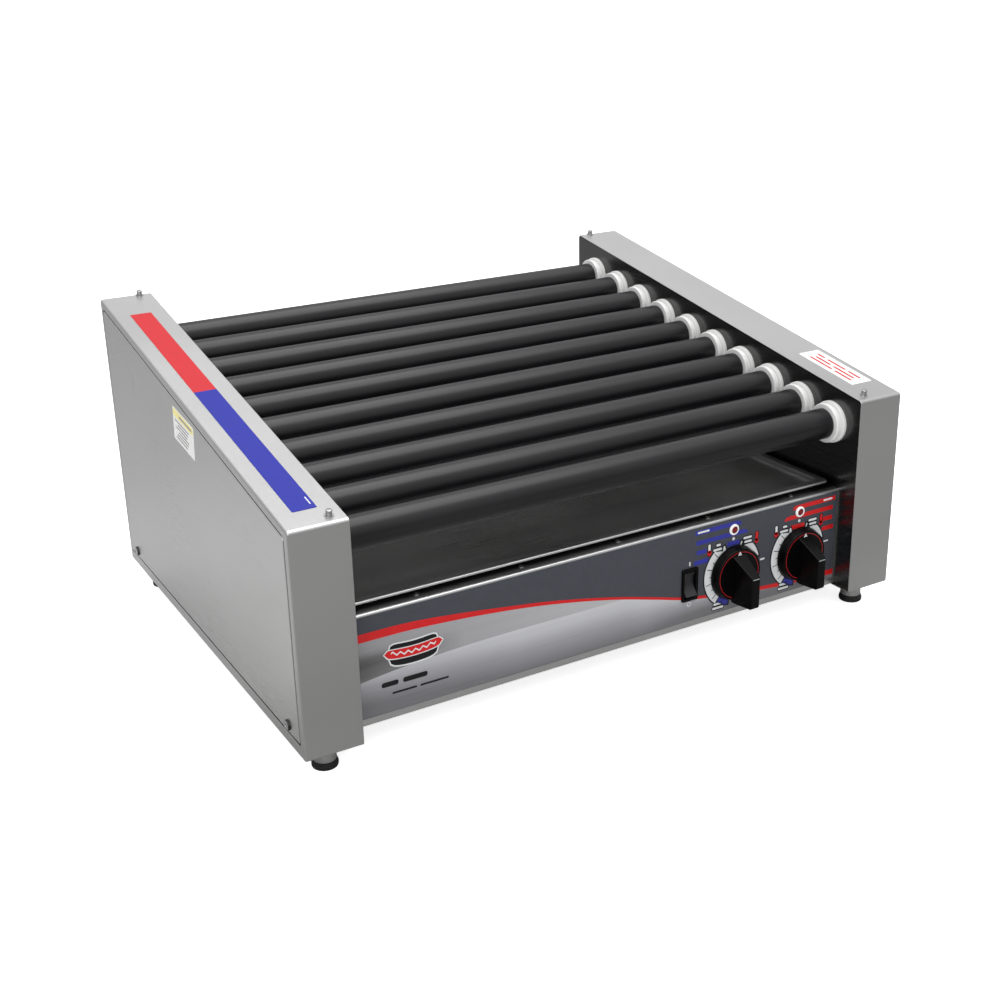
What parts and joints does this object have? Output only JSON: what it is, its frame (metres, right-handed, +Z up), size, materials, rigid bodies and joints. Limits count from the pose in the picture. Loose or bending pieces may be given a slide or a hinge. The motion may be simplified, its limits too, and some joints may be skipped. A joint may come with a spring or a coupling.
{
  "type": "hot dog roller grill",
  "caption": "Countertop roller grill: a sloped bed of chain-driven heated rollers between two end housings, with a drip tray, two heat knobs and a rocker switch.",
  "frame": {"origin": "on the counter, under the middle of the machine, with the cable gland and the knobs counted in its depth", "axes": "+X to the operator's right along the rollers, +Y to the back, +Z up; the knobs face -Y"},
  "size_m": [0.6082, 0.4846, 0.2984],
  "materials": {
    "stainless": "satin brushed stainless steel",
    "nonstick": "satin black non-stick coating",
    "seal_white": "smooth white bearing plastic",
    "overlay_print": "printed polyester film",
    "galvanised": "zinc-plated sheet",
    "machined": "machined steel",
    "chain_steel": "oiled chain steel",
    "element_sheath": "heat-tinted sheath",
    "motor_paint": "dark grey enamel",
    "black_plastic": "glossy black moulded plastic",
    "phenolic": "moulded phenolic",
    "bezel_white": "white moulded plastic",
    "lens_red": "dark red translucent lens",
    "rubber": "black rubber",
    "screw_steel": "plated screws",
    "label_print": "printed label"
  },
  "bodies": {
    "frame": {"roller_seals_left": "seal_white", "roller_seals_right": "seal_white", "left_end_housing": "stainless", "right_end_housing": "stainless", "left_inner_wall": "stainless", "right_inner_wall": "stainless", "left_side_cover": "stainless", "right_side_cover": "stainless", "front_panel": "stainless", "panel_overlay": "overlay_print", "back_panel": "stainless", "bottom_pan": "galvanised", "tray_deck": "galvanised", "heating_elements": "element_sheath", "element_brackets": "galvanised", "gearmotor": "motor_paint", "motor_bracket": "galvanised", "drive_chain": "chain_steel", "tensioner_arm": "galvanised", "heat_controls": "phenolic", "rocker_housing": "black_plastic", "pilot_bezels": "bezel_white", "pilot_lenses": "lens_red", "foot_sleeves": "stainless", "foot_pads": "rubber", "top_studs": "stainless", "screws": "screw_steel", "terminal_block": "phenolic", "cable_gland": "black_plastic", "labels": "label_print"},
    "roller_01": {"roller_tube_01": "nonstick", "roller_hubs_01": "machined"},
    "roller_02": {"roller_tube_02": "nonstick", "roller_hubs_02": "machined"},
    "roller_03": {"roller_tube_03": "nonstick", "roller_hubs_03": "machined"},
    "roller_04": {"roller_tube_04": "nonstick", "roller_hubs_04": "machined"},
    "roller_05": {"roller_tube_05": "nonstick", "roller_hubs_05": "machined"},
    "roller_06": {"roller_tube_06": "nonstick", "roller_hubs_06": "machined"},
    "roller_07": {"roller_tube_07": "nonstick", "roller_hubs_07": "machined"},
    "roller_08": {"roller_tube_08": "nonstick", "roller_hubs_08": "machined"},
    "roller_09": {"roller_tube_09": "nonstick", "roller_hubs_09": "machined"},
    "roller_10": {"roller_tube_10": "nonstick", "roller_hubs_10": "machined"},
    "motor_output": {"motor_sprocket": "machined"},
    "idler": {"idler_sprocket": "machined"},
    "front_zone_control": {"front_zone_knob": "black_plastic", "front_zone_shaft": "machined"},
    "rear_zone_control": {"rear_zone_knob": "black_plastic", "rear_zone_shaft": "machined"},
    "power_switch": {"rocker_button": "black_plastic"},
    "tray": {"drip_tray": "stainless"}
  },
  "joints": [
    {"name": "roller_01_spin", "type": "hinge", "parent": "frame", "child": "roller_01", "pos_m": [0, -0.19484, 0.18223], "axis": [1, 0, 0], "continuous": true, "deforming": ["drive_chain"]},
    {"name": "roller_02_spin", "type": "hinge", "parent": "frame", "child": "roller_02", "pos_m": [0, -0.15155, 0.19006], "axis": [1, 0, 0], "continuous": true},
    {"name": "roller_03_spin", "type": "hinge", "parent": "frame", "child": "roller_03", "pos_m": [0, -0.10825, 0.19788], "axis": [1, 0, 0], "continuous": true},
    {"name": "roller_04_spin", "type": "hinge", "parent": "frame", "child": "roller_04", "pos_m": [0, -0.06495, 0.20571], "axis": [1, 0, 0], "continuous": true},
    {"name": "roller_05_spin", "type": "hinge", "parent": "frame", "child": "roller_05", "pos_m": [0, -0.02165, 0.21353], "axis": [1, 0, 0], "continuous": true},
    {"name": "roller_06_spin", "type": "hinge", "parent": "frame", "child": "roller_06", "pos_m": [0, 0.02165, 0.22136], "axis": [1, 0, 0], "continuous": true},
    {"name": "roller_07_spin", "type": "hinge", "parent": "frame", "child": "roller_07", "pos_m": [0, 0.06495, 0.22918], "axis": [1, 0, 0], "continuous": true},
    {"name": "roller_08_spin", "type": "hinge", "parent": "frame", "child": "roller_08", "pos_m": [0, 0.10825, 0.23701], "axis": [1, 0, 0], "continuous": true},
    {"name": "roller_09_spin", "type": "hinge", "parent": "frame", "child": "roller_09", "pos_m": [0, 0.15155, 0.24483], "axis": [1, 0, 0], "continuous": true},
    {"name": "roller_10_spin", "type": "hinge", "parent": "frame", "child": "roller_10", "pos_m": [0, 0.19484, 0.25266], "axis": [1, 0, 0], "continuous": true},
    {"name": "motor_output_spin", "type": "hinge", "parent": "frame", "child": "motor_output", "pos_m": [-0.266, -0.04, 0.084], "axis": [1, 0, 0], "continuous": true},
    {"name": "idler_spin", "type": "hinge", "parent": "frame", "child": "idler", "pos_m": [-0.266, 0.112, 0.152], "axis": [1, 0, 0], "continuous": true},
    {"name": "front_zone_turn", "type": "hinge", "parent": "frame", "child": "front_zone_control", "pos_m": [0.128, -0.2263, 0.0658], "axis": [0, -1, 0], "range_deg": [-90, 150]},
    {"name": "rear_zone_turn", "type": "hinge", "parent": "frame", "child": "rear_zone_control", "pos_m": [0.2054, -0.2263, 0.0658], "axis": [0, -1, 0], "range_deg": [-90, 150]},
    {"name": "power_rocker", "type": "hinge", "parent": "frame", "child": "power_switch", "pos_m": [0.078, -0.2087, 0.0658], "axis": [-1, 0, 0], "range_deg": [0, 20]},
    {"name": "tray_slide", "type": "slide", "parent": "frame", "child": "tray", "axis": [0, -1, 0], "range_m": [0, 0.42]}
  ],
  "couplings": [
    {"joint": "roller_02_spin", "follows": "roller_01_spin", "ratio": 1},
    {"joint": "roller_03_spin", "follows": "roller_01_spin", "ratio": 1},
    {"joint": "roller_04_spin", "follows": "roller_01_spin", "ratio": 1},
    {"joint": "roller_05_spin", "follows": "roller_01_spin", "ratio": 1},
    {"joint": "roller_06_spin", "follows": "roller_01_spin", "ratio": 1},
    {"joint": "roller_07_spin", "follows": "roller_01_spin", "ratio": 1},
    {"joint": "roller_08_spin", "follows": "roller_01_spin", "ratio": 1},
    {"joint": "roller_09_spin", "follows": "roller_01_spin", "ratio": 1},
    {"joint": "roller_10_spin", "follows": "roller_01_spin", "ratio": 1},
    {"joint": "motor_output_spin", "follows": "roller_01_spin", "ratio": 0.84615},
    {"joint": "idler_spin", "follows": "roller_01_spin", "ratio": 1}
  ]
}
